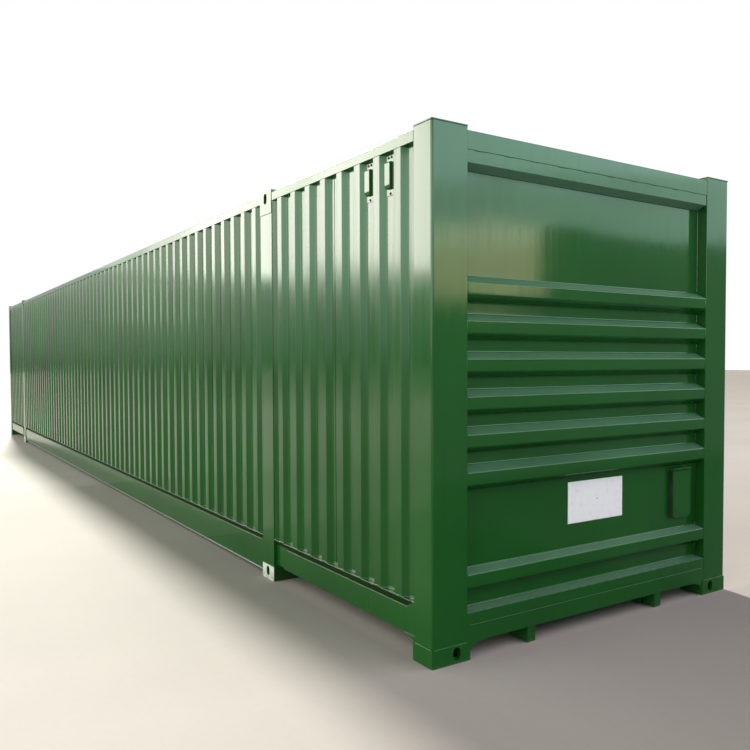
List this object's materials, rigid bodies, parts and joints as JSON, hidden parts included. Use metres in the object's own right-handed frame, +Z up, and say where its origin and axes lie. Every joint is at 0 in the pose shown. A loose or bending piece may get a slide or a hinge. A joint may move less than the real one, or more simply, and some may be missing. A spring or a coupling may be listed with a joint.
{
  "type": "shipping container",
  "caption": "High-cube steel cargo container with corrugated walls and roof, stacking frames set in from both ends, rear double doors, plywood floor and a gooseneck tunnel.",
  "frame": {"origin": "on the ground under the middle of the container", "axes": "+X along the length towards the blind front end, +Y across towards the left side as seen from the doors, +Z up"},
  "size_m": [16.154, 2.591, 2.896],
  "materials": {
    "green_paint": "gloss enamel on steel",
    "white_paint": "satin enamel on cast steel",
    "galvanised_steel": "hot-dip galvanised",
    "seal_rubber": "matt black",
    "plywood": "sealed plywood",
    "underside_coating": "matt dark undercoat"
  },
  "bodies": {
    "root": {"front_post_right": "green_paint", "front_post_left": "green_paint", "rear_post_right": "green_paint", "rear_post_left": "green_paint", "stacking_post_front_right": "green_paint", "stacking_post_front_left": "green_paint", "stacking_post_rear_right": "green_paint", "stacking_post_rear_left": "green_paint", "end_fittings": "green_paint", "post_caps": "green_paint", "lower_stacking_fittings": "white_paint", "upper_stacking_fittings": "green_paint", "front_header": "green_paint", "front_wall": "green_paint", "front_sill": "green_paint", "fitting_gussets": "green_paint", "document_box": "green_paint", "top_rail_right": "green_paint", "top_rail_left": "green_paint", "bottom_rail_right": "green_paint", "bottom_rail_left": "green_paint", "end_bay_rails_right": "green_paint", "end_bay_rails_left": "green_paint", "side_wall_right_front": "green_paint", "side_wall_right_middle": "green_paint", "side_wall_right_rear": "green_paint", "side_wall_left_front": "green_paint", "side_wall_left_middle": "green_paint", "side_wall_left_rear": "green_paint", "vents": "green_paint", "roof_sheet": "green_paint", "roof_end_plates": "green_paint", "floor_boards": "plywood", "cross_members": "underside_coating", "gooseneck_tunnel": "green_paint", "rear_header": "green_paint", "rear_sill": "green_paint", "door_right": "green_paint", "door_left": "green_paint", "door_gaskets": "seal_rubber", "lock_rods": "galvanised_steel", "rod_brackets": "green_paint", "door_handles": "galvanised_steel", "handle_catches": "green_paint", "door_hinges": "green_paint"}
  },
  "joints": []
}
